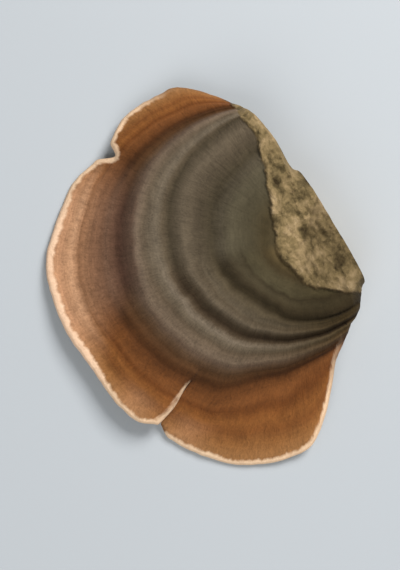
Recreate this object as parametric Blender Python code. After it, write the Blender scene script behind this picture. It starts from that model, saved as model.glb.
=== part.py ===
"""A dried turkey tail bracket, picked from its log and lying on its pore side.

The cap grew outward in rings from a knob that held it to the wood.  The rings are nearly circles whose
centres drift forward as they widen, so they crowd together at the two back corners.  The old, domed part
ends in a small ledge, and a thin newer rim of lobes runs out from under it.

The shape is worked out in bracket coordinates: across (to the right), forward (the way it grew) and up,
measured from the focus of growth over the knob.  Forward is -Y in the finished part, whose origin is the
middle of the underside of its bounding box.  Angles are in degrees, from across towards forward.
"""

import math

import bmesh
import bpy
from mathutils import Vector

MM = 0.001
DEGREE = math.pi / 180.0

# Rings of growth: the share of the whole growth reached there, the ring's centre and its radius.
RINGS = (
    (0.32, -0.5 * MM, -0.5 * MM, 7.2 * MM),  # inner green-grey bands
    (0.49, -2.0 * MM, 0.7 * MM, 9.6 * MM),  # dark line through the old part
    (0.64, -2.1 * MM, 2.8 * MM, 10.9 * MM),  # ledge at the edge of the old part
    (0.79, -2.3 * MM, 4.7 * MM, 12.1 * MM),  # plum band, from which the new rim runs out
)
RIM_CIRCLE = (-1.6 * MM, 5.5 * MM, 15.9 * MM)

# The right front lobe stands out past the rim's circle.
LOBE_ANGLE = 44.0
LOBE_SPREAD = 20.0
LOBE_SWELL = 1.4 * MM

# Clefts between lobes: angle, half-width at the margin in degrees, and depth from the margin.
CLEFTS = (
    (69.5, 1.7, 5.2 * MM),
    (146.0, 4.0, 2.2 * MM),
)
SHOULDER_SPREAD = 4.0
SHOULDER_SHARE = 0.16
CLEFT_VALLEY = 0.35 * MM
CLEFT_OVERLAP = 0.35 * MM

# Angles over which the outline passes from the knob to a back corner, and from there to the rim.
RIGHT_CORNER = (-34.0, -6.0)
RIGHT_RIM_SIDE = (12.0, 29.0)
LEFT_RIM_SIDE = (186.0, 170.0)
LEFT_CORNER = (205.0, 182.0)
CORNER_RIM = 0.5 * MM

# The knob, and the plane in which it was cut from the wood.
KNOB_REACH = 6.2 * MM
KNOB_SIDES = (5.0 * MM, 9.0 * MM)
KNOB_FRONT = (0.0, 4.5 * MM)
CUT_BEHIND_FOCUS = 2.8 * MM

# Height of the upper face and thickness of the flesh, by share of growth.
CREST = (
    (0.00, 4.7 * MM),
    (0.12, 5.3 * MM),
    (0.30, 5.2 * MM),
    (0.48, 4.6 * MM),
    (0.61, 3.8 * MM),
    (0.67, 2.9 * MM),
    (0.80, 2.3 * MM),
    (1.00, 0.8 * MM),
)
FLESH = (
    (0.00, 4.0 * MM),
    (0.15, 3.1 * MM),
    (0.35, 2.4 * MM),
    (0.61, 2.0 * MM),
    (0.69, 1.3 * MM),
    (0.85, 1.1 * MM),
    (1.00, 0.8 * MM),
)
# How high the margin lifts off the table, by angle.  It touches down at two places.
MARGIN_LIFT = (
    (-60.0, 0.5 * MM),
    (-10.0, 1.8 * MM),
    (18.0, 1.2 * MM),
    (42.0, 0.0 * MM),
    (60.0, 0.3 * MM),
    (82.0, 1.1 * MM),
    (102.0, 0.8 * MM),
    (128.0, 0.0 * MM),
    (150.0, 0.4 * MM),
    (172.0, 1.5 * MM),
    (195.0, 1.9 * MM),
    (240.0, 0.5 * MM),
)

# Gentle radial ripples of the rim, as many as would go round a whole circle.
RIPPLES = 17
RIPPLE_HEIGHT = 0.09 * MM

# Grooves between the bands: share of growth and depth.
GROOVES = (
    (0.34, 0.20 * MM),
    (0.48, 0.24 * MM),
    (0.69, 0.16 * MM),
    (0.87, 0.08 * MM),
)
GROOVE_HALF_WIDTH = 0.028
LEDGE_SHARE = 0.64

COLUMNS = 104
TOP_ROWS = 28
UNDER_ROWS = 14
FREE_SHARE = 0.5
FREE_REACH = 0.7
EDGE_STEPS = (1.0, 0.55, 0.18, 0.0)
EDGE_ROUNDING = 0.45
CUTTER_SIZE = 40.0 * MM


def smooth_step(value, start, end):
    """0 up to start, 1 from end on, and an even curve between them."""
    share = min(1.0, max(0.0, (value - start) / (end - start)))
    return share * share * (3.0 - 2.0 * share)


def blend(first, second, share):
    return first + (second - first) * share


def bell(value, middle, spread):
    return math.exp(-(((value - middle) / spread) ** 2))


def slope_at(points, index):
    """The slope of a curve at one of its points, from the two beside it."""
    before = points[max(index - 1, 0)]
    after = points[min(index + 1, len(points) - 1)]
    return (after[1] - before[1]) / (after[0] - before[0])


def along_curve(points, place):
    """A smooth curve through (place, value) points, level beyond both ends."""
    if place <= points[0][0]:
        return points[0][1]
    if place >= points[-1][0]:
        return points[-1][1]
    index = max(i for i, point in enumerate(points) if point[0] <= place)
    (start, low), (end, high) = points[index : index + 2]
    width = end - start
    t = (place - start) / width
    return (
        low * (1.0 + 2.0 * t) * (1.0 - t) ** 2
        + slope_at(points, index) * width * t * (1.0 - t) ** 2
        + high * t * t * (3.0 - 2.0 * t)
        - slope_at(points, index + 1) * width * t * t * (1.0 - t)
    )


def along_lines(points, place):
    """Straight lines through (place, value) points."""
    for (start, low), (end, high) in zip(points, points[1:]):
        if place <= end:
            return blend(low, high, (place - start) / (end - start))
    return points[-1][1]


def spaced(count, start, end, crowding):
    """Values from start, closer together where crowding is high."""
    fine = [blend(start, end, i / 2000.0) for i in range(2000)]
    total = sum(crowding(value) for value in fine)
    chosen = []
    passed = 0.0
    for value in fine:
        if passed >= total * len(chosen) / count:
            chosen.append(value)
        passed += crowding(value)
    return chosen


def circle_reach(angle, across, forward, radius):
    """The distance from the focus to a circle in the direction of an angle."""
    along = across * math.cos(angle * DEGREE) + forward * math.sin(angle * DEGREE)
    return along + math.sqrt(radius**2 - across**2 - forward**2 + along**2)


def rim_reach(angle):
    return circle_reach(angle, *RIM_CIRCLE) + LOBE_SWELL * bell(angle, LOBE_ANGLE, LOBE_SPREAD)


def cap_weight(angle):
    """1 over the cap and 0 round the back of the knob."""
    return smooth_step(angle, *RIGHT_CORNER) * (1.0 - smooth_step(angle, *LEFT_CORNER[::-1]))


def whole_reach(angle):
    """The distance to the outline before the clefts are cut: knob, back corners and rim."""
    corner = circle_reach(angle, *RINGS[-1][1:]) + CORNER_RIM
    on_rim = smooth_step(angle, *RIGHT_RIM_SIDE) * (1.0 - smooth_step(angle, *LEFT_RIM_SIDE[::-1]))
    return blend(KNOB_REACH, blend(corner, rim_reach(angle), on_rim), cap_weight(angle))


def outline_reach(angle):
    """The distance to the outline with the clefts: a narrow slit between shoulders that curve in."""
    reach = whole_reach(angle)
    for middle, half_width, depth in CLEFTS:
        slit = 1.0 - smooth_step(abs(angle - middle), 0.0, half_width)
        shoulders = 1.0 - smooth_step(abs(angle - middle), 0.0, SHOULDER_SPREAD * half_width)
        reach -= depth * blend(slit, shoulders, SHOULDER_SHARE)
    return reach


def growth_share(angle, reach):
    """The share of growth at a distance from the focus."""
    marks = [(circle_reach(angle, *ring[1:]), ring[0]) for ring in RINGS]
    margin = max(whole_reach(angle), marks[-1][0] + CORNER_RIM)
    return along_lines([(0.0, 0.0), *marks, (margin, 1.0)], reach)


def row_reach(angle, share, inset):
    """The distance to a row of vertices: it follows the rings, squeezed in where the outline is near."""
    rings = [(0.0, 0.0), *((ring[0], circle_reach(angle, *ring[1:])) for ring in RINGS)]
    rings.append((1.0, rim_reach(angle)))
    end = outline_reach(angle) - inset
    hold = min(along_lines(rings, FREE_SHARE), FREE_REACH * end)
    ringed = along_lines(rings, share)
    if ringed > hold:
        ringed = blend(hold, end, (ringed - hold) / (rings[-1][1] - hold))
    return blend(share * end, ringed, cap_weight(angle))


def faces_height(angle, reach):
    """The height of the upper face, and of the pore face under it."""
    share = growth_share(angle, reach)
    across = reach * math.cos(angle * DEGREE)
    forward = reach * math.sin(angle * DEGREE)
    top = along_curve(CREST, share) + along_curve(MARGIN_LIFT, angle) * share**1.5
    top += RIPPLE_HEIGHT * math.sin(RIPPLES * angle * DEGREE) * smooth_step(share, LEDGE_SHARE, 1.0)
    for middle, half_width, _ in CLEFTS:
        valley = CLEFT_VALLEY * bell(angle, middle, 4.0 * half_width)
        lip = CLEFT_OVERLAP * math.tanh((angle - middle) / half_width) * bell(angle, middle, 12.0)
        top += smooth_step(share, FREE_SHARE, 1.0) * (lip - valley)
    under = top - along_curve(FLESH, share)
    for middle, depth in GROOVES:
        top -= depth * bell(share, middle, GROOVE_HALF_WIDTH)
    on_knob = 1.0 - smooth_step(forward, *KNOB_FRONT)
    on_knob *= 1.0 - smooth_step(abs(across), *KNOB_SIDES)
    return top, blend(under, 0.0, on_knob)


def bracket_point(angle, row_share, edge_step, upper):
    """A vertex on the upper or pore face; edge_step is its place in the rounding of the margin."""
    outline = outline_reach(angle)
    margin_top, margin_under = faces_height(angle, outline)
    edge = EDGE_ROUNDING * (margin_top - margin_under)
    if edge_step is None:
        reach = row_reach(angle, row_share, edge)
    else:
        reach = outline - edge * edge_step
    top, under = faces_height(angle, reach)
    inward = min(1.0, (outline - reach) / edge)
    half = 0.5 * (top - under) * math.sqrt(1.0 - (1.0 - inward) ** 2)
    up = 0.5 * (top + under) + (half if upper else -half)
    return Vector((reach * math.cos(angle * DEGREE), -reach * math.sin(angle * DEGREE), max(up, 0.0)))


def column_angles():
    """Angles of the columns of vertices, closer together at the clefts and at the sides of the rim."""
    tight = [(cleft[0], 3.5, 6.0) for cleft in CLEFTS]
    tight += [(sum(side) / 2.0, 9.0, 2.0) for side in (RIGHT_RIM_SIDE, LEFT_RIM_SIDE)]
    return spaced(
        COLUMNS,
        -90.0,
        270.0,
        lambda angle: 1.0 + sum(more * bell(angle, middle, spread) for middle, spread, more in tight),
    )


def row_places():
    """(share, edge step, upper) of each row, from the middle of the upper face round to the pore face's."""
    creases = [groove[0] for groove in GROOVES] + [LEDGE_SHARE]
    upper = spaced(
        TOP_ROWS - len(EDGE_STEPS) + 1,
        0.0,
        1.0,
        lambda share: 1.0 + sum(1.5 * bell(share, crease, 0.04) for crease in creases),
    )
    under = spaced(UNDER_ROWS - len(EDGE_STEPS) + 1, 0.0, 1.0, lambda share: 1.0)
    places = [(share, None, True) for share in upper]
    places += [(1.0, step, True) for step in EDGE_STEPS]
    places += [(1.0, step, False) for step in EDGE_STEPS[-2::-1]]
    places += [(share, None, False) for share in reversed(under)]
    return places


def grown_mesh():
    """The bracket as one closed skin: a sphere whose upper half becomes the cap and lower half the pores."""
    angles = column_angles()
    places = row_places()
    last = len(places) - 1
    form = bmesh.new()
    bmesh.ops.create_uvsphere(form, u_segments=COLUMNS, v_segments=last, radius=1.0)
    for vertex in form.verts:
        x, y, z = vertex.co
        column = round(math.atan2(y, x) / (2.0 * math.pi) * COLUMNS)
        row = round((0.5 - math.asin(max(-1.0, min(1.0, z))) / math.pi) * last)
        vertex.co = bracket_point(angles[-column % COLUMNS], *places[row])
    mesh = bpy.data.meshes.new("bracket")
    form.to_mesh(mesh)
    form.free()
    return mesh


def new_collection(name):
    collection = bpy.data.collections.new(name)
    bpy.context.scene.collection.children.link(collection)
    return collection


def flesh_material():
    """Dried flesh and skin: matte grey-brown, as most of the cap is."""
    material = bpy.data.materials.new("dried_bracket")
    material.use_nodes = True
    shader = material.node_tree.nodes["Principled BSDF"]
    shader.inputs["Base Color"].default_value = (0.16, 0.09, 0.045, 1.0)
    shader.inputs["Roughness"].default_value = 0.8
    shader.inputs["Metallic"].default_value = 0.0
    return material


def add_bracket(collection):
    bracket = bpy.data.objects.new("bracket", grown_mesh())
    bracket.data.materials.append(flesh_material())
    bracket.data.shade_smooth()
    collection.objects.link(bracket)
    return bracket


def cut_from_wood(bracket, collection):
    """The flat cut behind the knob, made by a block that stands where the wood was."""
    bpy.ops.mesh.primitive_cube_add(size=CUTTER_SIZE)
    block = bpy.context.active_object
    block.name = "wood_side"
    block.location = (0.0, CUT_BEHIND_FOCUS + 0.5 * CUTTER_SIZE, 0.0)
    block.hide_render = True
    block.display_type = "WIRE"
    for other in block.users_collection:
        other.objects.unlink(block)
    collection.objects.link(block)
    cut = bracket.modifiers.new("cut", "BOOLEAN")
    cut.operation = "DIFFERENCE"
    cut.object = block
    return block


def centre_on_origin(bracket, block):
    """Moves bracket and block so that the origin is in the middle of the finished bracket's underside."""
    bpy.context.view_layer.update()
    finished = bracket.evaluated_get(bpy.context.evaluated_depsgraph_get())
    corners = [Vector(corner) for corner in finished.bound_box]
    low = Vector(map(min, *corners))
    high = Vector(map(max, *corners))
    move = Vector((-0.5 * (low.x + high.x), -0.5 * (low.y + high.y), -low.z))
    bracket.location += move
    block.location += move
    bpy.context.view_layer.update()


def main():
    for old in list(bpy.data.objects):
        bpy.data.objects.remove(old)
    bracket = add_bracket(new_collection("turkey_tail_bracket"))
    block = cut_from_wood(bracket, new_collection("cutters"))
    centre_on_origin(bracket, block)


main()
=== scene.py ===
import math

import bmesh
import bpy
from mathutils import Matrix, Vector, geometry, kdtree, noise


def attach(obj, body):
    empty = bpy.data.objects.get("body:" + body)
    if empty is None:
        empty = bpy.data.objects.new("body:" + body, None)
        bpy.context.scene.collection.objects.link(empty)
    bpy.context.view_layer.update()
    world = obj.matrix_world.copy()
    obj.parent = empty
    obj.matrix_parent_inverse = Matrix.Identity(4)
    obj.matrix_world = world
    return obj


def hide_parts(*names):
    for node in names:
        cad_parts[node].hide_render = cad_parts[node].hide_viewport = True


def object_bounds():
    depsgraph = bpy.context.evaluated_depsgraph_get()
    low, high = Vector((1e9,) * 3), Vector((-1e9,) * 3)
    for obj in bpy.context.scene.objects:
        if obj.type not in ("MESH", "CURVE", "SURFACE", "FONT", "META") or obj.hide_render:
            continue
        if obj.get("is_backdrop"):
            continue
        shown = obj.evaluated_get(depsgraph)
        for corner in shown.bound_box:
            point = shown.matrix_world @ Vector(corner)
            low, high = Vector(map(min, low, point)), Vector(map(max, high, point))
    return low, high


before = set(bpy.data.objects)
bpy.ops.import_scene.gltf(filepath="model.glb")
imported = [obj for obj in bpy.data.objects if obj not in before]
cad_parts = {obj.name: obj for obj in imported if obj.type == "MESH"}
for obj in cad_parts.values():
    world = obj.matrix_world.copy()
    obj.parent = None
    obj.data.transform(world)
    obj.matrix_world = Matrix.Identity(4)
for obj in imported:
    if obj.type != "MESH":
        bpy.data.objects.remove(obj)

solid_low, solid_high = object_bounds()

# ------------------------------------------------------------------------------------------------------
# The bracket: one tough, dry fruiting body that grew out from its wood in rings, thick and felted in the
# old part and thin as card in the new rim, and was cut from the wood through its knob.  Places on it are
# in millimetres from the focus of growth: across to the right, and forward the way it grew.

MM = 0.001
# Angles are in degrees from the right toward the front, once round from the back.
ALL_ROUND = -90, 270

# Rings of growth: the share of the whole growth reached there, the ring's centre and its radius.
RINGS = (
    (0.32, -0.5, -0.5, 7.2),
    (0.49, -2.0, 0.7, 9.6),
    (0.64, -2.1, 2.8, 10.9),
    (0.79, -2.3, 4.7, 12.1),
)
RIM_CIRCLE = (-1.6, 5.5, 15.9)
# Where the rim stands out from its circle, or stays back: angle, spread and how far.
RIM_LOBES = (
    (44.0, 20.0, 1.4),
    (32.0, 12.0, 0.6),
    (90.0, 9.0, -0.45),
    (116.0, 8.0, 0.4),
)

# Clefts between lobes: angle, half-width at the margin in degrees, depth, and how wide and deep their
# shoulders are, as multiples of the half-width and the depth.
CLEFTS = (
    (69.5, 0.75, 5.3, 6.5, 0.15),
    (146.0, 2.8, 2.1, 4.2, 0.5),
)
# Beside a cleft the rim dips, and its left side stands over its right side and laps it.
CLEFT_VALLEY, CLEFT_STEP, CLEFT_LAP = 0.15, 0.56, 0.5
# How far the dip and the step spread, and the shares of growth between which the step comes in.
VALLEY_SPREAD, STEP_SPREAD, STEP_SHARES = 6.0, 11.0, (0.62, 0.95)
# The lap: its last angle, how fast it falls off to the side, and where it starts and is full, past the tip.
LAP_END, LAP_SPREAD, LAP_START, LAP_FULL = 100.0, 1.3, 0.1, 3.0

# Angles over which the outline passes from the knob to a back corner, and from there to the rim.
RIGHT_CORNER, LEFT_CORNER = (-34.0, -6.0), (205.0, 182.0)
RIGHT_RIM_SIDE, LEFT_RIM_SIDE = (12.0, 29.0), (186.0, 170.0)
CORNER_RIM = 0.5
# The right back corner grew less: how much, and the angles over which that fades out.
CORNER_TRIM, TRIM_SIDE = 1.6, (-2.0, 20.0)

KNOB_REACH = 6.2
KNOB_SIDES, KNOB_FRONT = (5.0, 9.0), (0.0, 4.5)
CUT_BEHIND_FOCUS = 2.8

# Height of the upper face and thickness of the flesh, by share of growth.
CREST = (
    (0.0, 4.7),
    (0.12, 5.3),
    (0.30, 5.2),
    (0.48, 4.6),
    (0.62, 3.8),
    (0.70, 2.9),
    (0.80, 2.3),
    (1.0, 0.5),
)
FLESH = (
    (0.0, 4.0),
    (0.15, 3.1),
    (0.35, 2.4),
    (0.61, 2.0),
    (0.69, 1.3),
    (0.85, 1.0),
    (1.0, 0.5),
)
# How far the margin is lifted, by angle, and the part of it that is turned up: angle, spread and height,
# and the band along the edge over which that fades.
MARGIN_LIFT = (
    (-60.0, 0.5),
    (-10.0, 1.8),
    (18.0, 1.2),
    (42.0, 0.0),
    (60.0, 0.3),
    (82.0, 1.1),
    (102.0, 0.8),
    (128.0, 0.0),
    (150.0, 0.4),
    (172.0, 1.5),
    (195.0, 1.9),
    (240.0, 0.5),
)
TURNED_UP, TURNED_UP_BAND = (100.0, 24.0, 0.22), (0.2, 1.3)
# The lift grows with this power of the share of growth.  Toward the margin the flesh is no thicker than
# THIN_EDGE plus THIN_SLOPE of the distance in.
LIFT_POWER, THIN_EDGE, THIN_SLOPE = 1.5, 0.6, 0.6
# The bands' own relief on the upper face: share of growth and height.
RIDGES = (
    (0.00, 0.00),
    (0.13, 0.02),
    (0.165, -0.10),
    (0.20, 0.08),
    (0.225, 0.05),
    (0.25, -0.08),
    (0.285, 0.12),
    (0.31, 0.08),
    (0.345, -0.26),
    (0.375, 0.06),
    (0.41, -0.03),
    (0.45, 0.14),
    (0.495, -0.30),
    (0.53, 0.08),
    (0.565, 0.02),
    (0.59, -0.02),
    (0.61, 0.14),
    (0.65, 0.14),
    (0.715, -0.20),
    (0.745, -0.02),
    (0.775, -0.10),
    (0.81, 0.03),
    (0.86, -0.07),
    (0.90, 0.02),
    (0.94, -0.05),
    (0.98, 0.05),
    (1.00, 0.00),
)
# The ragged line, seen from above, where the rings end and the torn base begins, and how soft it is.
TORN_LINE = (
    (-9.5, -0.7),
    (-6.0, 0.1),
    (-3.4, 1.2),
    (-1.3, 2.0),
    (1.2, 2.2),
    (3.2, 1.8),
    (4.7, 0.2),
    (6.2, -1.9),
    (9.0, -3.4),
)
TORN_EDGE = (-0.25, 0.3)
# The crack along that line: its depth, how far it reaches to the sides, its middle and spread in front of
# the line, how shallow it gets, and the length of its deep stretches.
CRACK_DEPTH, CRACK_SIDES, CRACK_LINE = 0.32, (3.6, 5.6), (0.12, 0.2)
CRACK_LEAST, CRACK_STRETCH = 0.4, 1.7
# Layers of the torn base: their fineness across and forward, their slice of the noise, and their height.
LAYERS_ACROSS, LAYERS_FORWARD, LAYERS_SLICE, LAYERS_HEIGHT = 0.9, 1.7, 2.0, 0.14
# How far down a place is fully hollow, and how much deeper it has to be on the torn base.
HOLLOW_DEPTH, TORN_HOLLOW = 0.42, 0.1

# Unevenness as (waves to a unit of distance, height): of the growing edge, of the rings' course, of the
# rim's radial wrinkles and the felt's, of the whole skin, of the crest, and of the torn base.
EDGE_WAVES = ((3.3, 0.28), (9.0, 0.07), (31.0, 0.055))
RING_WAVES = ((2.6, 0.011), (9.0, 0.0055))
RIM_WRINKLES, FELT_WRINKLES = ((10.0, 0.075),), ((27.0, 0.035), (46.0, 0.018))
SKIN_WAVES, CREST_WAVES = ((1.8, 0.03),), ((0.22, 0.16),)
TORN_WAVES, TORN_LUMPS = ((0.62, 0.5), (1.5, 0.22), (4.0, 0.1)), ((0.48, 0.42), (1.1, 0.26), (2.4, 0.12))
# How the rings' course and the wrinkles change on the way out, where each comes in and goes, and the
# slice of the noise that shapes the crest.
RING_DRIFT, RING_WAVES_IN, RING_WAVES_OUT = 0.4, (0.05, 0.2), (0.93, 1.0)
WRINKLE_DRIFT, RIM_WRINKLES_IN, FELT_WRINKLES_IN = 0.09, (0.62, 0.85), (3.0, 9.0)
CREST_SLICE = Vector((0.0, 0.0, 30.0))

# Where the rings' colours differ, by angle: the pale left of the rim, the darker right, where painted shade
# lies over some of the rings' own darker colour, and the upper left where the old rings are faint.
PALE_AT_LEDGE, PALE_AT_MARGIN, PALE_END = (97.0, 110.0), (86.0, 104.0), (128.0, 150.0)
SHADE_SIDE, FAINT_SIDE = (2.0, 74.0), (98.0, 118.0)
# The shares of growth over which those colours and the painted shade come in or go, and how much flatter
# the faint rings are.
PALE_WIDENS, PALE_START, SHADE_STOP, FAINT_STOP = (0.7, 1.0), (0.60, 0.65), (0.60, 0.72), (0.58, 0.64)
FAINT_FLATNESS = 0.45
# Pale patches of the margin beside the main cleft: angle, spread and how pale.
PALE_PATCHES, PALE_PATCH_START = ((62.0, 5.0, 0.3), (77.0, 5.0, 0.35)), (0.88, 0.94)
# The painted shade is weaker on the inmost rings: how strong it is there, and the growth over which that
# ends.  A patch in front of the torn base has more painted shade: by how much, and its middle and spread by
# angle and by growth.
INNER_SHADE, INNER_SHADE_STOP = 0.65, (0.30, 0.38)
SHADE_PATCH, SHADE_PATCH_ANGLES, SHADE_PATCH_RINGS = 0.25, (55.0, 30.0), (0.295, 0.05)
# Angles past this one, at the back, are counted from the right.
BACK_ANGLE = 225.0
# On the right the plum ring comes early: by how much, the angles over which that fades out, and the middle
# and spread of that by share of growth.
EARLY_RINGS = ((0.06, 46.0, 62.0), (0.05, 22.0, 42.0))
EARLY_SHARES = (0.70, 0.12)
# In front of the torn base the inner rings come early too: by how much, and the middle and spread of that
# by angle and by share of growth.
EARLY_PATCH, EARLY_PATCH_ANGLES, EARLY_PATCH_SHARES = 0.03, (66.0, 22.0), (0.31, 0.06)
# The angles between which the pale lip turns in along the main cleft, and how it narrows on the way in:
# by how much, and from where to where.
LIP_TURNS, LIP_NARROWS = (55.0, 85.0), ((0.2, 1.0, 2.2), (0.14, 4.0, 5.4))

# The mesh: steps along the outline, how far in the edge is rounded, columns and rows, and how the columns
# crowd at the front and in the clefts.
OUTLINE_STEP, EDGE_ROUNDING = 0.04, 0.45
COLUMNS, TOP_ROWS, EDGE_ROWS, UNDER_ROWS = 584, 112, 8, 40
BACK_CROWDING, FRONT_CROWDING, CLEFT_CROWDING, STEEPEST = 0.7, 0.8, 3.0, 8.0
FRONT_RIGHT, FRONT_LEFT = (-15.0, 10.0), (180.0, 205.0)
FINE_STEPS, SLOPE_STEP = 20000, 0.05
# Rows stay on the rings up to this share of growth, or this part of the way to a near outline.
FREE_SHARE, FREE_REACH = 0.5, 0.7


def smooth_step(value, start, end):
    share = min(1.0, max(0.0, (value - start) / (end - start)))
    return share * share * (3.0 - 2.0 * share)


def blend(first, second, share):
    return first + (second - first) * share


def bell(value, middle, spread):
    return math.exp(-(((value - middle) / spread) ** 2))


def waves(point, sizes):
    return sum(height * noise.noise(point * fineness) for fineness, height in sizes)


def along_lines(points, place):
    for (start, low), (end, high) in zip(points, points[1:]):
        if place <= end:
            return blend(low, high, (place - start) / (end - start))
    return points[-1][1]


def along_curve(points, place):
    """A smooth curve through (place, value) points, level beyond both ends."""
    if place <= points[0][0]:
        return points[0][1]
    if place >= points[-1][0]:
        return points[-1][1]
    index = next(i for i, point in enumerate(points) if point[0] > place) - 1
    (start, low), (end, high) = points[index : index + 2]
    before, after = points[max(index - 1, 0)], points[min(index + 2, len(points) - 1)]
    width = end - start
    t = (place - start) / width
    slope_in = (high - before[1]) / (end - before[0])
    slope_out = (after[1] - low) / (after[0] - start)
    return (
        low * (1.0 + 2.0 * t) * (1.0 - t) ** 2
        + slope_in * width * t * (1.0 - t) ** 2
        + high * t * t * (3.0 - 2.0 * t)
        - slope_out * width * t * t * (1.0 - t)
    )


def toward(angle):
    return Vector((math.cos(math.radians(angle)), math.sin(math.radians(angle)), 0.0))


def circle_reach(angle, across, forward, radius):
    """The distance from the focus to a circle round another centre."""
    along = toward(angle).dot((across, forward, 0.0))
    return along + math.sqrt(radius**2 - across**2 - forward**2 + along**2)


def rim_reach(angle):
    lobes = sum(size * bell(angle, middle, spread) for middle, spread, size in RIM_LOBES)
    return circle_reach(angle, *RIM_CIRCLE) + lobes


def cap_weight(angle):
    return smooth_step(angle, *RIGHT_CORNER) * (1.0 - smooth_step(angle, *LEFT_CORNER[::-1]))


def whole_reach(angle):
    """The distance to the outline before the clefts are cut: knob, back corners and rim."""
    corner = circle_reach(angle, *RINGS[-1][1:]) + CORNER_RIM
    if angle < TRIM_SIDE[1]:
        corner -= CORNER_TRIM * (1.0 - smooth_step(angle, *TRIM_SIDE))
    on_rim = smooth_step(angle, *RIGHT_RIM_SIDE) * (1.0 - smooth_step(angle, *LEFT_RIM_SIDE[::-1]))
    smooth_reach = blend(KNOB_REACH, blend(corner, rim_reach(angle), on_rim), cap_weight(angle))
    return smooth_reach + waves(toward(angle), EDGE_WAVES)


def outline_reach(angle):
    """The distance to the outline with the clefts: narrow slits between shoulders that curve in."""
    reach = whole_reach(angle)
    for middle, half_width, depth, spread, share in CLEFTS:
        slit = 1.0 - smooth_step(abs(angle - middle), 0.0, half_width)
        shoulders = 1.0 - smooth_step(abs(angle - middle), 0.0, spread * half_width)
        reach -= depth * blend(slit, shoulders, share)
    return reach


def outline_points(step):
    """Places along the outline, at most a step apart."""
    tenths = range(ALL_ROUND[0] * 10, ALL_ROUND[1] * 10)
    corners = [toward(tenth / 10.0) * outline_reach(tenth / 10.0) for tenth in tenths]
    for here, there in zip(corners, corners[1:] + corners[:1]):
        pieces = max(1, math.ceil((there - here).length / step))
        for i in range(pieces):
            yield here.lerp(there, i / pieces)


outline = list(outline_points(OUTLINE_STEP))
nearest_margin = kdtree.KDTree(len(outline))
for index, point in enumerate(outline):
    nearest_margin.insert(point, index)
nearest_margin.balance()

MAIN_CLEFT = CLEFTS[0][0]
CLEFT_TIP = outline_reach(MAIN_CLEFT)


class Column:
    """One line of the cap from the focus outward, with what holds along its whole length."""

    def __init__(self, angle):
        self.angle = angle
        self.way = toward(angle)
        self.whole = whole_reach(angle)
        self.outline = outline_reach(angle)
        rings = [(0.0, 0.0), *((circle_reach(angle, *ring[1:]), ring[0]) for ring in RINGS)]
        margin = max(self.whole, rings[-1][0] + CORNER_RIM)
        self.shares = [*rings, (margin, 1.0)]
        self.reaches = [(share, reach) for reach, share in [*rings, (rim_reach(angle), 1.0)]]
        self.lift = along_curve(MARGIN_LIFT, angle)
        self.on_cap = cap_weight(angle)
        self.early = sum(size * (1.0 - smooth_step(angle, start, end)) for size, start, end in EARLY_RINGS)
        self.step = 0.0
        for middle, half_width, *_ in CLEFTS:
            side = math.tanh((angle - middle) / half_width)
            self.step += CLEFT_STEP * side * bell(angle, middle, STEP_SPREAD)
            self.step -= CLEFT_VALLEY * bell(angle, middle, VALLEY_SPREAD)

    def row_reach(self, share, inset):
        """The distance to a row of vertices: along the rings, but squeezed in by a near outline."""
        end = self.outline - inset
        hold = min(along_lines(self.reaches, FREE_SHARE), FREE_REACH * end)
        ringed = along_lines(self.reaches, share)
        if ringed > hold:
            ringed = blend(hold, end, (ringed - hold) / (self.reaches[-1][1] - hold))
        return blend(share * end, ringed, self.on_cap)


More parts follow.
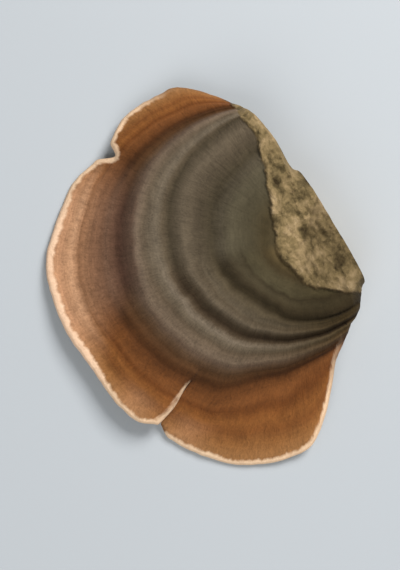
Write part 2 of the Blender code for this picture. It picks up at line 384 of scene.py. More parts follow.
class Spot:
    """A place on the bracket seen from above, with the faces over and under it and what its skin shows."""

    def __init__(self, column, reach):
        self.column, self.reach = column, reach
        self.place = column.way * reach
        self.share = along_lines(column.shares, reach)
        self.margin = nearest_margin.find(self.place)[2] if reach < column.outline else 0.0
        self.growth = self.find_growth()
        torn_edge = along_curve(TORN_LINE, self.place.x) + waves(self.place, TORN_WAVES)
        self.past_torn = self.place.y - torn_edge
        self.torn = 1.0 - smooth_step(self.past_torn, *TORN_EDGE)
        self.set_colours()
        self.set_faces()

    def find_growth(self):
        """The share of growth where the rings, which wander and come early in places, put this spot."""
        share, angle = self.share, self.column.angle
        wobble = waves(self.column.way + Vector((0.0, 0.0, RING_DRIFT * share)), RING_WAVES)
        wobble *= smooth_step(share, *RING_WAVES_IN) * (1.0 - smooth_step(share, *RING_WAVES_OUT))
        early = self.column.early * bell(share, *EARLY_SHARES)
        patch = EARLY_PATCH * bell(angle, *EARLY_PATCH_ANGLES) * bell(share, *EARLY_PATCH_SHARES)
        return share + wobble + early + patch

    def set_colours(self):
        """How pale or faint the rings are here, how much painted shade they get, and the distance in from
        the pale lip's edge.
        """
        share, growth, angle = self.share, self.growth, self.column.angle
        outward = smooth_step(share, *PALE_WIDENS)
        start, full = (blend(*ends, outward) for ends in zip(PALE_AT_LEDGE, PALE_AT_MARGIN))
        self.pale = smooth_step(angle, start, full) * (1.0 - smooth_step(angle, *PALE_END))
        self.pale *= smooth_step(growth, *PALE_START)
        beside_cleft = sum(size * bell(angle, middle, spread) for middle, spread, size in PALE_PATCHES)
        self.pale += beside_cleft * smooth_step(growth, *PALE_PATCH_START)
        self.faint = smooth_step(angle, *FAINT_SIDE) * (1.0 - smooth_step(growth, *FAINT_STOP))
        angle = angle - 360.0 if angle > BACK_ANGLE else angle
        dusk = (1.0 - smooth_step(angle, *SHADE_SIDE)) * (1.0 - smooth_step(share, *SHADE_STOP))
        dusk *= blend(INNER_SHADE, 1.0, smooth_step(growth, *INNER_SHADE_STOP))
        patch = SHADE_PATCH * bell(angle, *SHADE_PATCH_ANGLES) * bell(growth, *SHADE_PATCH_RINGS)
        self.dusk = min(1.0, dusk + patch)
        # The pale lip turns in along the left side of the main cleft, and not along its right side.
        self.lip = self.margin
        inward = self.column.whole - self.reach
        if LIP_TURNS[0] < angle < MAIN_CLEFT:
            self.lip = inward
        elif MAIN_CLEFT < angle < LIP_TURNS[1]:
            self.lip += sum(size * smooth_step(inward, start, end) for size, start, end in LIP_NARROWS)

    def set_faces(self):
        column, place, share = self.column, self.place, self.share
        crest = along_curve(CREST, share) + column.lift * share**LIFT_POWER
        crest += smooth_step(share, *STEP_SHARES) * column.step
        crest += waves(place + CREST_SLICE, CREST_WAVES)
        under = max(crest - along_curve(FLESH, share), crest - THIN_EDGE - THIN_SLOPE * self.margin)
        self.knob = 1.0 - smooth_step(place.y, *KNOB_FRONT)
        self.knob *= 1.0 - smooth_step(abs(place.x), *KNOB_SIDES)
        self.under = blend(under, 0.0, self.knob)

        along = column.way + Vector((0.0, 0.0, WRINKLE_DRIFT * share))
        felt = waves(along, FELT_WRINKLES) * smooth_step(self.reach, *FELT_WRINKLES_IN)
        ringed = along_curve(RIDGES, self.growth) * (1.0 - FAINT_FLATNESS * self.faint)
        ringed += waves(along, RIM_WRINKLES) * smooth_step(share, *RIM_WRINKLES_IN)
        ringed += felt + waves(place, SKIN_WAVES)
        layers = abs(noise.noise(Vector((LAYERS_ACROSS * place.x, LAYERS_FORWARD * place.y, LAYERS_SLICE))))
        lumps = waves(place, TORN_LUMPS) + LAYERS_HEIGHT * layers
        deep = CRACK_LEAST + max(0.0, noise.noise(place / CRACK_STRETCH))
        crack = CRACK_DEPTH * bell(self.past_torn, *CRACK_LINE) * deep
        crack *= 1.0 - smooth_step(abs(place.x), *CRACK_SIDES)
        self.top = crest + blend(ringed, lumps, self.torn) - crack
        sunk = crack - blend(ringed, lumps + TORN_HOLLOW, self.torn)
        self.hollow = smooth_step(sunk, 0.0, HOLLOW_DEPTH)

        middle, spread, height = TURNED_UP
        outer = 1.0 - smooth_step(self.margin, *TURNED_UP_BAND)
        turned_up = height * bell(column.angle, middle, spread) * outer
        self.top += turned_up
        self.under += turned_up


def spaced(count, start, end, crowding):
    """Values from start, closer together where crowding is high."""
    fine = [blend(start, end, i / FINE_STEPS) for i in range(FINE_STEPS)]
    weights = [crowding(value) for value in fine]
    total, passed, chosen = sum(weights), 0.0, []
    for value, weight in zip(fine, weights):
        if passed >= total * len(chosen) / count:
            chosen.append(value)
        passed += weight
    return chosen


def column_crowding(angle):
    """Columns stand closer at the front, and in the clefts, where the outline runs steeply inward."""
    front = smooth_step(angle, *FRONT_RIGHT) * (1.0 - smooth_step(angle, *FRONT_LEFT))
    rise = abs(outline_reach(angle + SLOPE_STEP) - outline_reach(angle - SLOPE_STEP))
    steepness = min(rise / (2.0 * SLOPE_STEP), STEEPEST)
    return BACK_CROWDING + FRONT_CROWDING * front + CLEFT_CROWDING * steepness


columns = [Column(angle) for angle in spaced(COLUMNS, *ALL_ROUND, column_crowding)]
top_shares = [row / TOP_ROWS for row in range(1, TOP_ROWS)]
under_shares = [row / UNDER_ROWS for row in range(UNDER_ROWS - 1, 0, -1)]
edge_steps = [(1.0 - step / EDGE_ROWS) ** 2 for step in range(EDGE_ROWS + 1)]

form = bmesh.new()
MARKS = ("growth", "margin", "lip", "torn", "hollow", "knob", "pale", "dusk", "faint")
marks = {name: form.verts.layers.float.new(name) for name in MARKS}
rind_layer = form.verts.layers.float.new("rind")


def add_vertex(column, reach, upper, edge):
    """A vertex of the upper skin or the pore face, drawn in to the middle of the flesh at the margin."""
    spot = Spot(column, reach)
    inward = min(1.0, spot.margin / edge)
    thin = math.sqrt(1.0 - (1.0 - inward) ** 2)
    middle, half = 0.5 * (spot.top + spot.under), 0.5 * (spot.top - spot.under) * thin
    up = max(0.0, middle + half if upper else middle - half)
    place = spot.place
    if MAIN_CLEFT < column.angle < LAP_END:
        aside = math.radians(column.angle - MAIN_CLEFT) * reach
        lap = CLEFT_LAP * math.exp(-aside / LAP_SPREAD)
        lap *= smooth_step(reach, CLEFT_TIP + LAP_START, CLEFT_TIP + LAP_FULL)
        place = place - lap * toward(column.angle + 90.0)
    vertex = form.verts.new(Vector((place.x, -place.y, up)) * MM)
    for name, layer in marks.items():
        vertex[layer] = getattr(spot, name)
    return vertex


loops = []
for column in columns:
    end = Spot(column, column.outline)
    edge = EDGE_ROUNDING * (end.top - end.under)
    reaches = [(column.row_reach(share, edge), True) for share in top_shares]
    reaches += [(column.outline - edge * step, True) for step in edge_steps]
    reaches += [(column.outline - edge * step, False) for step in edge_steps[-2::-1]]
    reaches += [(column.row_reach(share, edge), False) for share in under_shares]
    loops.append([add_vertex(column, reach, upper, edge) for reach, upper in reaches])

crown = add_vertex(columns[0], 0.0, True, 1.0)
heel = add_vertex(columns[0], 0.0, False, 1.0)
upper_rows = len(top_shares) + EDGE_ROWS
for here, there in zip(loops, loops[1:] + loops[:1]):
    form.faces.new((crown, there[0], here[0]))
    for row in range(len(here) - 1):
        face = form.faces.new((here[row], there[row], there[row + 1], here[row + 1]))
        face.material_index = 0 if row < upper_rows else 1
    form.faces.new((heel, here[-1], there[-1])).material_index = 1

# The skin, the pore face and the cut laid out flat on one sheet, the first two by the length along every
# column, so that a picture of the finishes keeps their grain even.
SHEET = 56.0
SKIN_AT, PORES_AT, CUT_AT = Vector((20.1, 4.5, 0.0)), Vector((20.1, 32.5, 0.0)), Vector((46.5, 4.5, 0.0))
skin_flat, pores_flat = {crown: SKIN_AT}, {heel: PORES_AT}
for column, loop in zip(columns, loops):
    for start, middle, vertices, flat in (
        (crown, SKIN_AT, loop[: upper_rows + 1], skin_flat),
        (heel, PORES_AT, loop[: upper_rows - 1 : -1], pores_flat),
    ):
        passed, last = 0.0, start
        for vertex in vertices:
            passed += (vertex.co - last.co).length / MM
            flat[vertex] = middle + column.way * passed
            last = vertex
sheet = form.loops.layers.uv.new("OFBake")
for face in form.faces:
    flat = pores_flat if face.material_index else skin_flat
    for corner in face.loops:
        corner[sheet].uv = flat[corner.vert].xy / SHEET

# The knife's flat cut: rings of faces inside its border, where the layers show, round a flat middle.
RING_SHARES, WELD = (0.25, 0.6, 0.85), 0.005
behind = Vector((0.0, CUT_BEHIND_FOCUS, 0.0)) * MM
everything = form.verts[:] + form.edges[:] + form.faces[:]
cut = bmesh.ops.bisect_plane(
    form, geom=everything, plane_co=behind, plane_no=(0.0, 1.0, 0.0), clear_outer=True
)
cut_vertices = [item for item in cut["geom_cut"] if isinstance(item, bmesh.types.BMVert)]
bmesh.ops.remove_doubles(form, verts=cut_vertices, dist=WELD * MM)
border_edges = [edge for edge in form.edges if edge.is_boundary]
whole_cut = bmesh.ops.contextual_create(form, geom=border_edges)["faces"][0]
border = [corner.vert for corner in whole_cut.loops]
form.faces.remove(whole_cut)
low, high = min(v.co.z for v in border), max(v.co.z for v in border)
left, right = min(v.co.x for v in border), max(v.co.x for v in border)
half = 0.5 * (high - low)
cores = [Vector((min(max(v.co.x, left + half), right - half), behind.y, low + half)) for v in border]
rings = [border]
for share in RING_SHARES:
    rings.append([form.verts.new(v.co.lerp(core, share)) for v, core in zip(border, cores)])
for vertex in border:
    vertex[rind_layer] = 1.0
cut_faces = []
for outside, inside in zip(rings, rings[1:]):
    for i in range(len(border)):
        j = (i + 1) % len(border)
        cut_faces.append(form.faces.new((outside[i], outside[j], inside[j], inside[i])))
middle = [vertex.co.xz for vertex in rings[-1]]
for corners in geometry.delaunay_2d_cdt(middle, [], [list(range(len(middle)))], 1, 0.0)[2]:
    cut_faces.append(form.faces.new([rings[-1][i] for i in corners]))
for edge in border_edges:
    edge.smooth = False
for face in form.faces:
    face.smooth = True
for face in cut_faces:
    face.material_index, face.smooth = 2, False
    for corner in face.loops:
        corner[sheet].uv = (CUT_AT + Vector((corner.vert.co.x, corner.vert.co.z, 0.0)) / MM).xy / SHEET
# Slivers in the clefts that face away from their neighbours are shaded flat, or they would look inside out.
LEAST_AGREEMENT = 0.1
bmesh.ops.triangulate(form, faces=form.faces, quad_method="SHORT_EDGE")
bmesh.ops.recalc_face_normals(form, faces=form.faces)
for face in form.faces:
    if any(face.normal.dot(vertex.normal) < LEAST_AGREEMENT for vertex in face.verts):
        face.smooth = False

bracket_mesh = bpy.data.meshes.new("turkey_tail_cap")
form.to_mesh(bracket_mesh)
form.free()
bracket = bpy.data.objects.new("turkey_tail_cap", bracket_mesh)
bpy.context.scene.collection.objects.link(bracket)
left = min(vertex.co.x for vertex in bracket_mesh.vertices)
focus = Vector((solid_low.x - left, solid_high.y - behind.y, 0.0))
for vertex in bracket_mesh.vertices:
    vertex.co += focus

# The bracket's upper skin: a felt of fine hairs in rings, matt green-grey and brown on the old part, then
# plum, and silky orange-brown on the new rim, which ends in a pale, hairless lip.  Behind the rings the
# skin is torn off, down to a layered, woody base.


def paint(red, green, blue):
    """An ordinary screen colour, from 0 to 255, turned into the linear one that a shader takes."""
    shares = (red / 255.0, green / 255.0, blue / 255.0)
    linear = [share / 12.92 if share < 0.0404 else ((share + 0.055) / 1.055) ** 2.4 for share in shares]
    return (*linear, 1.0)


class Signal:
    """What a socket gives, so that shader maths can be written as sums."""

    def __init__(self, finish, socket):
        self.finish, self.socket = finish, socket

    def maths(self, operation, first, second):
        return self.finish.node("ShaderNodeMath", {"operation": operation}, {0: first, 1: second})

    def __add__(self, other):
        return self.maths("ADD", self, other)

    def __sub__(self, other):
        return self.maths("SUBTRACT", self, other)

    def __rsub__(self, other):
        return self.maths("SUBTRACT", other, self)

    def __mul__(self, other):
        return self.maths("MULTIPLY", self, other)

    __radd__ = __add__
    __rmul__ = __mul__

    def clipped(self):
        return self.finish.node("ShaderNodeClamp", {}, {"Value": self})

    def rising(self, start, end):
        """0 up to start, 1 from end on, and smooth between; start may be the larger."""
        if start > end:
            return 1.0 - self.rising(end, start)
        smooth = {"interpolation_type": "SMOOTHSTEP"}
        sockets = {"Value": self, "From Min": start, "From Max": end}
        return self.finish.node("ShaderNodeMapRange", smooth, sockets)


class Finish:
    """A material, and the nodes that work it out."""

    def __init__(self, name):
        self.material = bpy.data.materials.new(name)
        self.material.use_nodes = True
        self.tree = self.material.node_tree
        self.shader = self.tree.nodes["Principled BSDF"]

    def node(self, kind, settings, sockets, output=None):
        """A node with its settings, then its sockets' values or links; gives one of its outputs."""
        made = self.tree.nodes.new(kind)
        for name, value in settings.items():
            if name == "stops":
                self.set_stops(made.color_ramp, value)
            else:
                setattr(made, name, value)
        for name, value in sockets.items():
            self.plug(made.inputs[name], value)
        if output is None:
            return Signal(self, next(socket for socket in made.outputs if socket.enabled))
        return Signal(self, made.outputs[output])

    def plug(self, socket, value):
        if isinstance(value, Signal):
            self.tree.links.new(value.socket, socket)
        else:
            socket.default_value = value

    def set_stops(self, ramp, stops):
        ramp.elements.remove(ramp.elements[-1])
        ramp.elements[0].position, ramp.elements[0].color = stops[0]
        for place, colour in stops[1:]:
            ramp.elements.new(place).color = colour

    def set(self, **sockets):
        for name, value in sockets.items():
            self.plug(self.shader.inputs[name.replace("_", " ")], value)

    def attribute(self, name):
        return self.node("ShaderNodeAttribute", {"attribute_name": name}, {}, "Fac")

    def ramp(self, value, stops):
        return self.node("ShaderNodeValToRGB", {"stops": stops}, {"Fac": value}, "Color")

    def mix(self, factor, first, second, blend_type="MIX"):
        settings = {"data_type": "RGBA", "blend_type": blend_type}
        return self.node("ShaderNodeMix", settings, {0: factor, 6: first, 7: second}, 2)

    def vector(self, operation, *values):
        output = "Value" if operation in ("LENGTH", "DOT_PRODUCT") else "Vector"
        return self.node("ShaderNodeVectorMath", {"operation": operation}, dict(enumerate(values)), output)

    def scaled(self, vector, factor):
        sockets = {"Vector": vector, "Scale": factor}
        return self.node("ShaderNodeVectorMath", {"operation": "SCALE"}, sockets, "Vector")

    def grain(self, vector, scale=1.0, detail=2.0, roughness=0.5, output="Fac"):
        """Even noise round 0.5, or with the output Color as a vector."""
        sockets = {"Vector": vector, "Scale": scale, "Detail": detail, "Roughness": roughness}
        return self.node("ShaderNodeTexNoise", {}, sockets, output)

    def bump(self, height):
        """Relief of a height in millimetres."""
        return self.node("ShaderNodeBump", {}, {"Height": height, "Distance": MM, "Strength": 1.0})

    def place(self):
        """The place in millimetres from the focus."""
        coordinates = self.node("ShaderNodeTexCoord", {}, {}, "Object")
        return self.scaled(self.vector("SUBTRACT", coordinates, tuple(focus)), 1.0 / MM)

    def outward(self, place):
        """The way out from the focus to a place, seen from above, and its reach."""
        flat = self.vector("MULTIPLY", place, (1.0, 1.0, 0.0))
        return self.vector("NORMALIZE", flat), self.vector("LENGTH", flat)

    def drawn(self, way, along, fineness, detail=2.0, roughness=0.5):
        """Noise drawn out along the way from the focus: fineness is (across it, along it)."""
        across, stretch = fineness
        outward = self.node("ShaderNodeCombineXYZ", {}, {"Z": along * stretch})
        streaks = self.vector("ADD", self.scaled(way, across), outward)
        return self.grain(streaks, detail=detail, roughness=roughness)


# Colours of the rings by share of growth: the usual ones, those of the faint old rings on the upper left,
# and those of the pale left side of the rim.  Their dark band from about 0.65 to 0.78, beneath the old
# part's edge, is partly the plum ring's own colour and partly painted shade under that ledge.
RING_COLOURS = (
    (0.00, paint(112, 94, 64)),
    (0.135, paint(70, 58, 36)),
    (0.165, paint(58, 48, 30)),
    (0.19, paint(64, 56, 38)),
    (0.235, paint(73, 65, 46)),
    (0.25, paint(56, 48, 33)),
    (0.275, paint(64, 56, 40)),
    (0.31, paint(58, 49, 34)),
    (0.345, paint(53, 44, 29)),
    (0.365, paint(70, 60, 44)),
    (0.40, paint(86, 75, 59)),
    (0.42, paint(76, 65, 50)),
    (0.45, paint(92, 80, 64)),
    (0.475, paint(70, 58, 43)),
    (0.50, paint(46, 35, 23)),
    (0.52, paint(66, 54, 40)),
    (0.545, paint(110, 97, 81)),
    (0.565, paint(94, 82, 66)),
    (0.59, paint(80, 67, 52)),
    (0.635, paint(108, 91, 74)),
    (0.66, paint(96, 77, 61)),
    (0.685, paint(92, 69, 49)),
    (0.71, paint(79, 54, 33)),
    (0.745, paint(65, 40, 20)),
    (0.775, paint(68, 39, 17)),
    (0.81, paint(92, 54, 25)),
    (0.84, paint(110, 66, 32)),
    (0.86, paint(94, 53, 22)),
    (0.89, paint(116, 71, 33)),
    (0.915, paint(113, 68, 32)),
    (0.945, paint(126, 82, 43)),
    (0.98, paint(134, 93, 55)),
)
FAINT_COLOURS = (
    (0.16, paint(60, 51, 33)),
    (0.21, paint(64, 57, 41)),
    (0.28, paint(74, 67, 51)),
    (0.32, paint(72, 64, 50)),
    (0.355, paint(60, 52, 38)),
    (0.40, paint(72, 62, 48)),
    (0.45, paint(86, 75, 60)),
    (0.495, paint(64, 55, 41)),
    (0.52, paint(76, 65, 50)),
    (0.55, paint(102, 90, 74)),
    (0.595, paint(86, 74, 59)),
    (0.635, paint(102, 87, 71)),
)
PALE_COLOURS = (
    (0.62, paint(106, 90, 75)),
    (0.645, paint(90, 70, 56)),
    (0.67, paint(80, 59, 46)),
    (0.70, paint(74, 51, 39)),
    (0.735, paint(86, 61, 46)),
    (0.76, paint(104, 76, 58)),
    (0.785, paint(100, 71, 52)),
    (0.82, paint(118, 84, 61)),
    (0.855, paint(142, 102, 73)),
    (0.875, paint(126, 89, 62)),
    (0.905, paint(186, 141, 106)),
    (0.925, paint(174, 130, 96)),
    (0.95, paint(164, 121, 89)),
    (0.98, paint(164, 122, 90)),
)
# What is left of the red, green and blue under full painted shade.
SHADE_TINT = (0.42, 0.36, 0.22)

# Noise drawn out from the focus, as its fineness across the way out and along it: the felt's fibres, the
# streaks in which the rings run outward, and the rags of the lip.  Lines of growth lie along the rings.
FIBRES, FINE_FIBRES, STREAKS, RAGS = (55.0, 1.1), (130.0, 3.0), (17.0, 0.5), (34.0, 0.8)
LINES, FINE_LINES = (2.6, 30.0), (5.0, 120.0)
# Even noise, as its fineness to a millimetre, and how far the fibres drift with it.
PATCHES, SPECKS, DRIFT, FIBRE_DRIFT = 0.42, 5.5, 0.9, 0.03
# How far the rings run out in streaks and specks, as shares of growth.
STREAK_SHARE, SPECK_SHARE = 0.014, 0.008
# Where the felt's fibres come in, from the focus outward, and how strongly each pattern changes the tone;
# the hollows' darkening is partly dust and partly painted shade.
FIBRES_IN = (3.5, 9.0)
FIBRE_TONE, FINE_FIBRE_TONE, LINE_TONE, FINE_LINE_TONE = 0.5, 0.6, 0.4, 0.3
PATCH_TONE, SPECK_TONE, HOLLOW_DUST_AND_SHADE = 0.6, 0.35, 0.25
# Relief in millimetres.
FIBRE_RELIEF, FINE_FIBRE_RELIEF, LINE_RELIEF, FINE_LINE_RELIEF = 0.06, 0.04, 0.05, 0.02
SPECK_RELIEF, TORN_RELIEF = 0.03, 0.2
FELT_ROUGHNESS, SILKY_BY, SILKY_FROM, FIBRE_ROUGHNESS = 0.92, 0.22, (0.66, 0.86), 0.2

# The lip: its colours, how far in it reaches, how much farther on its broad side, how ragged it is, which
# way that side and the front lie with how near to them it holds, and how much of the skin it covers.
LIP_CREAM, LIP_TAN = paint(232, 196, 164), paint(222, 190, 156)
LIP_EDGE, BROAD_LIP, LIP_RAGS = (0.56, 0.24), 0.26, 0.6
BROAD_SIDE, NEAR_BROAD_SIDE = (*toward(-108.0).xy, 0.0), (0.88, 0.97)
FRONT_SIDE, NEAR_FRONT = (0.0, -1.0, 0.0), (0.12, 0.4)
LIP_COVER = 0.94

# The torn base: its colours, how its layers and shreds are drawn out and bent, how much each pattern adds
# to its colour, how dark the painted shade in its hollows, along its border and on its right side makes it,
# and how soft and ragged its border is.
TORN_COLOURS = (
    (0.36, paint(52, 41, 25)),
    (0.44, paint(84, 71, 46)),
    (0.52, paint(118, 100, 68)),
    (0.60, paint(146, 124, 90)),
    (0.68, paint(170, 148, 114)),
)
TORN_SHADE = paint(48, 36, 20)
TORN_LAYERS, TORN_SHREDS, TORN_BEND = (0.5, 1.2, 1.0), (2.6, 1.0, 1.8), 1.3
BARE_LAYERS, BARE_PATCHES, BARE_SHREDS, BARE_SPECKS, BARE_LIGHTER = 0.4, 0.4, 0.2, 0.1, 0.02
HOLLOW_SHADE, BORDER_SHADE, SHADE_ON_TORN = 0.2, 2.4, 0.45
TORN_BORDER, TORN_RAGS = (0.2, 0.75), 0.5
SKIN_GLOSS, SKIN_SHEEN = 0.08, 0.02

skin = Finish("banded_skin")
place = skin.place()
way, reach = skin.outward(place)
growth, from_edge, torn, hollow = (skin.attribute(mark) for mark in ("growth", "lip", "torn", "hollow"))
pale, dusk, faint = (skin.attribute(mark) for mark in ("pale", "dusk", "faint"))

# The felt's fibres run outward and drift a little, growth lines run round, and patches and specks are wear.
drift = skin.vector("SUBTRACT", skin.grain(place, DRIFT, output="Color"), (0.5, 0.5, 0.5))
drifting = skin.vector("ADD", way, skin.scaled(drift, FIBRE_DRIFT))
fibres = skin.drawn(drifting, reach, FIBRES, detail=3.0, roughness=0.65)
fine_fibres = skin.drawn(drifting, reach, FINE_FIBRES, roughness=0.6)
lines = skin.drawn(way, growth, LINES, detail=3.0, roughness=0.6)
fine_lines = skin.drawn(way, growth, FINE_LINES)
patches = skin.grain(place, PATCHES, detail=3.0, roughness=0.6)
specks = skin.grain(place, SPECKS, roughness=0.6)

streaks = skin.drawn(way, reach, STREAKS)
ringed = growth + (streaks - 0.5) * STREAK_SHARE + (specks - 0.5) * SPECK_SHARE
faded = (faint * (0.5 + patches)).clipped()
colour = skin.mix(faded, skin.ramp(ringed, RING_COLOURS), skin.ramp(ringed, FAINT_COLOURS))
colour = skin.mix((pale * (0.75 + fibres * 0.5)).clipped(), colour, skin.ramp(ringed, PALE_COLOURS))

outer = reach.rising(*FIBRES_IN)
tone = 1.0 + outer * ((fibres - 0.5) * FIBRE_TONE + (fine_fibres - 0.5) * FINE_FIBRE_TONE)
tone = tone + (lines - 0.5) * LINE_TONE + (fine_lines - 0.5) * FINE_LINE_TONE
tone = tone + (patches - 0.5) * PATCH_TONE + (specks - 0.5) * SPECK_TONE
# Hollows are darkened, partly by dust and partly by painted shade in the grooves.
tone = tone * (1.0 - hollow * HOLLOW_DUST_AND_SHADE)
# Painted shade darkens the right side of the rings, most in blue and least in red.
tints = [tone * (1.0 - dusk * (1.0 - left)) for left in SHADE_TINT]
shade = skin.node("ShaderNodeCombineColor", {}, dict(zip(("Red", "Green", "Blue"), tints)))
colour = skin.mix(1.0, colour, shade, "MULTIPLY")

# The lip is broader on the left, ragged inward, and faint toward the back.
left_side = skin.vector("DOT_PRODUCT", way, BROAD_SIDE).rising(*NEAR_BROAD_SIDE)
front = skin.vector("DOT_PRODUCT", way, FRONT_SIDE).rising(*NEAR_FRONT)
ragged = (skin.drawn(way, reach, RAGS, detail=3.0, roughness=0.6) - 0.5) * LIP_RAGS
lip = (from_edge + ragged - left_side * BROAD_LIP).rising(*LIP_EDGE) * front
lip_colour = skin.mix(left_side, LIP_TAN, LIP_CREAM)
lip_colour = skin.mix((patches + fibres - 0.7).clipped() * 0.5, lip_colour, skin.ramp(ringed, PALE_COLOURS))
colour = skin.mix(lip * LIP_COVER, colour, lip_colour)

# The torn base: layers that run across it, and shreds of fibre that point back to the wood.
bent = skin.vector("ADD", place, skin.scaled(drift, TORN_BEND))
layers = skin.grain(skin.vector("MULTIPLY", bent, TORN_LAYERS), detail=4.0, roughness=0.62)
shreds = skin.grain(skin.vector("MULTIPLY", bent, TORN_SHREDS), detail=4.0, roughness=0.7)
bare = layers * BARE_LAYERS + skin.grain(place, PATCHES) * BARE_PATCHES
bare = bare + shreds * BARE_SHREDS + (specks - 0.5) * BARE_SPECKS
# Painted shade darkens the torn base in its hollows, along its border and on its right side.
torn_colour = skin.ramp(bare - hollow * HOLLOW_SHADE + BARE_LIGHTER, TORN_COLOURS)
shaded = (torn * (1.0 - torn) * BORDER_SHADE + dusk * SHADE_ON_TORN).clipped()
torn_colour = skin.mix(shaded, torn_colour, TORN_SHADE)
colour = skin.mix((torn + (specks - 0.5) * TORN_RAGS).rising(*TORN_BORDER), colour, torn_colour)

relief = outer * (fibres * FIBRE_RELIEF + fine_fibres * FINE_FIBRE_RELIEF)
relief = relief + lines * LINE_RELIEF + fine_lines * FINE_LINE_RELIEF + specks * SPECK_RELIEF
relief = relief + torn * (shreds + layers) * TORN_RELIEF
skin.set(
    Base_Color=colour,
    Roughness=FELT_ROUGHNESS - growth.rising(*SILKY_FROM) * SILKY_BY + (fibres - 0.5) * FIBRE_ROUGHNESS,
    Normal=skin.bump(relief),
    Specular_IOR_Level=SKIN_GLOSS,
    Sheen_Weight=SKIN_SHEEN,
)

# The bracket's pore face: the cream underside, a sheet of tiny tubes that open in round pores, some four
# to a millimetre.  The outermost edge and the knob have none.

PORES_A_MM, PORE_UNEVENNESS = 4.0, 0.7
# How far from a wall's middle a pore opens, how deep it looks, and how much painted shade darkens it.
PORE_MOUTH, PORE_DEPTH, PORE_SHADE = (0.10, 0.26), 0.12, 0.7
# Where the pores begin: in from the margin, and out from the knob.
FIRST_PORES, PORES_OFF_KNOB = (0.7, 1.3), (0.8, 0.35)
PORE_CREAM = ((0.3, paint(206, 172, 126)), (0.7, paint(232, 208, 168)))
PORE_SHADE_COLOUR = paint(158, 124, 82)
PORE_PATCHES, PORE_ROUGHNESS = 0.35, 0.85

pores = Finish("pore_face")
place = pores.place()
walls = pores.node(
    "ShaderNodeTexVoronoi",
    {"feature": "DISTANCE_TO_EDGE"},
    {"Vector": place, "Scale": PORES_A_MM, "Randomness": PORE_UNEVENNESS},
    "Distance",
)
porous = pores.attribute("margin").rising(*FIRST_PORES) * pores.attribute("knob").rising(*PORES_OFF_KNOB)
hole = walls.rising(*PORE_MOUTH) * porous
cream = pores.ramp(pores.grain(place, PORE_PATCHES, detail=3.0, roughness=0.6), PORE_CREAM)
# The pore mouths are darkened with painted shade.
pores.set(
    Base_Color=pores.mix(hole * PORE_SHADE, cream, PORE_SHADE_COLOUR),
    Roughness=PORE_ROUGHNESS,
    Normal=pores.bump(hole * -PORE_DEPTH),
)

# The bracket's cut: pale, fibrous flesh as the knife left it, with a thin dark line under the felt along
# its upper border.

CUT_FLESH = ((0.36, paint(170, 140, 100)), (0.5, paint(206, 180, 140)), (0.64, paint(226, 206, 170)))
CUT_RIM, DARK_LINE, CUT_FELT = paint(164, 130, 86), paint(50, 34, 20), paint(84, 74, 54)
# Where the cut's border counts as upper, by height, and where its layers lie between the cut's middle, 0,
# and its border, 1: the browner rim, both sides of the dark line, and the felt.
UPPER_BORDER, RIM_LAYER, LINE_INSIDE, LINE_OUTSIDE = (2.6, 3.6), (0.0, 0.6), (0.55, 0.72), (1.0, 0.86)
FELT_LAYER = (0.84, 0.95)
RIM_COVER, LINE_COVER, FELT_COVER = 0.45, 0.85, 0.8
# The strands of the flesh: how they are drawn out, their fineness, and that of the patches among them.
STRANDS_DRAWN, STRANDS, CUT_PATCHES = (1.2, 1.0, 2.6), 2.4, 0.5
STRAND_RELIEF, LINE_DEPTH, CUT_ROUGHNESS = 0.07, 0.05, 0.9

flesh = Finish("cut_flesh")
place = flesh.place()
rind = flesh.attribute("rind")
upper = flesh.node("ShaderNodeSeparateXYZ", {}, {"Vector": place}, "Z").rising(*UPPER_BORDER)
drawn_out = flesh.vector("MULTIPLY", place, STRANDS_DRAWN)
strands = flesh.grain(drawn_out, STRANDS, detail=4.0, roughness=0.7)
line = rind.rising(*LINE_INSIDE) * rind.rising(*LINE_OUTSIDE) * upper
colour = flesh.ramp((strands + flesh.grain(place, CUT_PATCHES)) * 0.5, CUT_FLESH)
colour = flesh.mix(rind.rising(*RIM_LAYER) * RIM_COVER, colour, CUT_RIM)
colour = flesh.mix(line * LINE_COVER, colour, DARK_LINE)
colour = flesh.mix(rind.rising(*FELT_LAYER) * upper * FELT_COVER, colour, CUT_FELT)
relief = strands * STRAND_RELIEF + line * -LINE_DEPTH
flesh.set(Base_Color=colour, Roughness=CUT_ROUGHNESS, Normal=flesh.bump(relief))

for finish in (skin, pores, flesh):
    bracket_mesh.materials.append(finish.material)
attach(bracket, "root")
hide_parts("bracket")

# ------------------------------------------------------------------------------------------------------
# The table: a plain, pale, matt board, far wider than any view of it.  The bracket lies on it loose, on its
# knob and on two spots of its margin.

TABLE_HALF, TABLE_COLOUR, TABLE_ROUGHNESS = 1.5, paint(163, 167, 170), 0.6

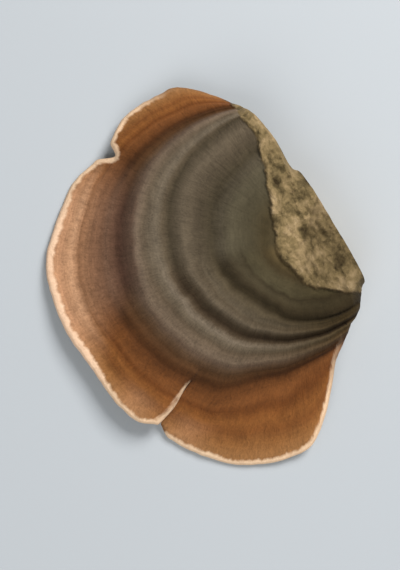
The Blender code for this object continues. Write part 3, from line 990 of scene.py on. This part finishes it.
table_mesh = bpy.data.meshes.new("table_top")
table_form = bmesh.new()
bmesh.ops.create_grid(table_form, x_segments=1, y_segments=1, size=TABLE_HALF)
table_form.to_mesh(table_mesh)
table_form.free()
table = bpy.data.objects.new("table_top", table_mesh)
bpy.context.scene.collection.objects.link(table)
table_white = Finish("table_white")
table_white.set(Base_Color=TABLE_COLOUR, Roughness=TABLE_ROUGHNESS)
table_mesh.materials.append(table_white.material)
table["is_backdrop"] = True

# ------------------------------------------------------------------------------------------------------
# The light and the camera: two softboxes under an even, cool sky, and a camera that looks down on the cap
# as the photograph does.  Azimuth turns from the front toward the right, and elevation rises from level.

SKY_COLOUR, SKY_STRENGTH = (0.9, 0.95, 1.0, 1.0), 0.3
# Name, azimuth, elevation, distance, size and power.
SOFTBOXES = (
    ("key", 200.0, 45.0, 0.35, 0.16, 1.7),
    ("fill", 50.0, 48.0, 0.45, 0.35, 1.3),
)
CAMERA_AZIMUTH, CAMERA_ELEVATION, CAMERA_DISTANCE, CAMERA_LENS = 59.5, 86.0, 0.134, 100.0
NEAREST_SEEN = 0.005


def place_round(thing, name, azimuth, elevation, distance):
    """Puts a lamp or a camera at a distance from the bracket's middle, turned toward it."""
    azimuth, elevation = math.radians(azimuth), math.radians(elevation)
    level = math.cos(elevation)
    away = Vector((math.sin(azimuth) * level, -math.cos(azimuth) * level, math.sin(elevation)))
    placed = bpy.data.objects.new(name, thing)
    placed.location = 0.5 * (solid_low + solid_high) + away * distance
    placed.rotation_euler = (-away).to_track_quat("-Z", "Y").to_euler()
    bpy.context.scene.collection.objects.link(placed)
    return placed


for name, azimuth, elevation, distance, size, power in SOFTBOXES:
    softbox = bpy.data.lights.new(name, "AREA")
    softbox.size, softbox.energy = size, power
    place_round(softbox, name, azimuth, elevation, distance)

sky = bpy.data.worlds.new("sky")
sky.use_nodes = True
background = sky.node_tree.nodes["Background"].inputs
background["Color"].default_value, background["Strength"].default_value = SKY_COLOUR, SKY_STRENGTH
bpy.context.scene.world = sky
bpy.context.scene.view_settings.view_transform = "Standard"

lens = bpy.data.cameras.new("camera")
lens.lens, lens.clip_start = CAMERA_LENS, NEAREST_SEEN
camera = place_round(lens, "camera", CAMERA_AZIMUTH, CAMERA_ELEVATION, CAMERA_DISTANCE)
bpy.context.scene.camera = camera

visual_low, visual_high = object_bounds()
sizes = {"cad": (solid_low, solid_high), "visual": (visual_low, visual_high)}
{name: [list(corner) for corner in corners] for name, corners in sizes.items()}
